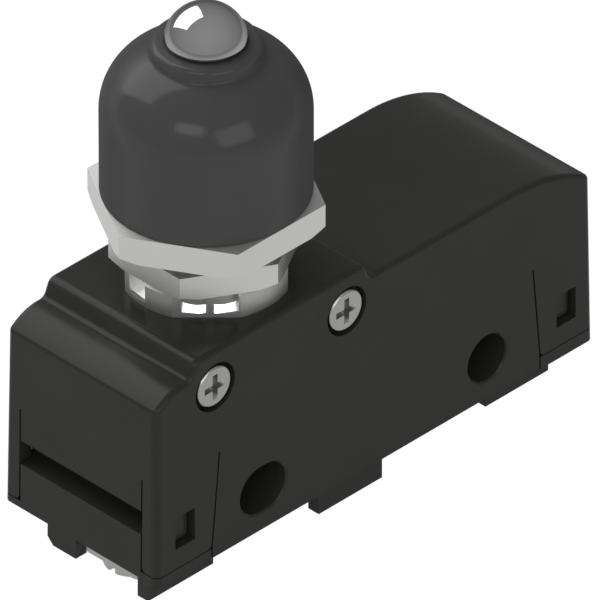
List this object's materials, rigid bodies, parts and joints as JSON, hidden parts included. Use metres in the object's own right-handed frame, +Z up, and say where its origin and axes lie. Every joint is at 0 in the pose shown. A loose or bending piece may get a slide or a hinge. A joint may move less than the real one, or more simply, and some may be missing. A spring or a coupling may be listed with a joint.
{
  "type": "micro switch",
  "caption": "Snap-action micro switch in a black moulded housing, with a gaiter-sealed domed plunger on a panel-mount bush and screw terminals below.",
  "frame": {"origin": "under the middle of the housing, at the level of the middle foot's sole", "axes": "+X along the housing away from the plunger, +Z up along the plunger, the face with the screw heads towards -Y"},
  "size_m": [0.0496, 0.0174, 0.0481],
  "materials": {
    "housing_plastic": "fine satin, glass-filled",
    "nickel": "satin nickel plate",
    "gaiter_rubber": "smooth matt",
    "polished_steel": "polished",
    "zinc": "bright zinc plate",
    "spring_steel": "drawn wire",
    "button_plastic": "natural moulded",
    "brass": "stamped strip",
    "spring_copper": "rolled strip",
    "contact_silver": "satin"
  },
  "bodies": {
    "housing": {"upper_housing": "housing_plastic", "terminal_base": "housing_plastic", "plunger_bush": "nickel", "lower_lock_nut": "nickel", "panel_nut": "nickel", "rubber_gaiter": "gaiter_rubber", "return_spring": "spring_steel", "bow_spring": "spring_copper", "common_terminal": "brass", "open_terminal": "brass", "closed_terminal": "brass", "open_contact": "contact_silver", "closed_contact": "contact_silver", "left_head_screw": "zinc", "right_head_screw": "zinc", "common_terminal_screw": "zinc", "common_clamp_plate": "zinc", "open_terminal_screw": "zinc", "open_clamp_plate": "zinc", "closed_terminal_screw": "zinc", "closed_clamp_plate": "zinc"},
    "plunger": {"plunger": "polished_steel", "retaining_ring": "spring_steel"},
    "button": {"actuator_button": "button_plastic", "overtravel_spring": "spring_steel"},
    "blade": {"snap_blade": "spring_copper", "moving_contact": "contact_silver"}
  },
  "joints": [
    {"name": "plunger_slide", "type": "slide", "parent": "housing", "child": "plunger", "axis": [0, 0, -1], "range_m": [0, 0.005], "stiffness_N_per_m": 600, "springref_m": -0.004, "deforming": ["rubber_gaiter", "return_spring", "overtravel_spring"]},
    {"name": "button_slide", "type": "slide", "parent": "housing", "child": "button", "axis": [0, 0, -1], "range_m": [0, 0.0006]},
    {"name": "blade_tilt", "type": "hinge", "parent": "housing", "child": "blade", "pos_m": [-0.01754, 0, 0.014], "axis": [0, 1, 0], "range_deg": [0, 4.92], "deforming": ["bow_spring"]}
  ],
  "couplings": [
    {"joint": "button_slide", "follows": "plunger_slide", "ratio": 0.12},
    {"joint": "blade_tilt", "follows": "plunger_slide", "rad_per_m": 17.14}
  ]
}
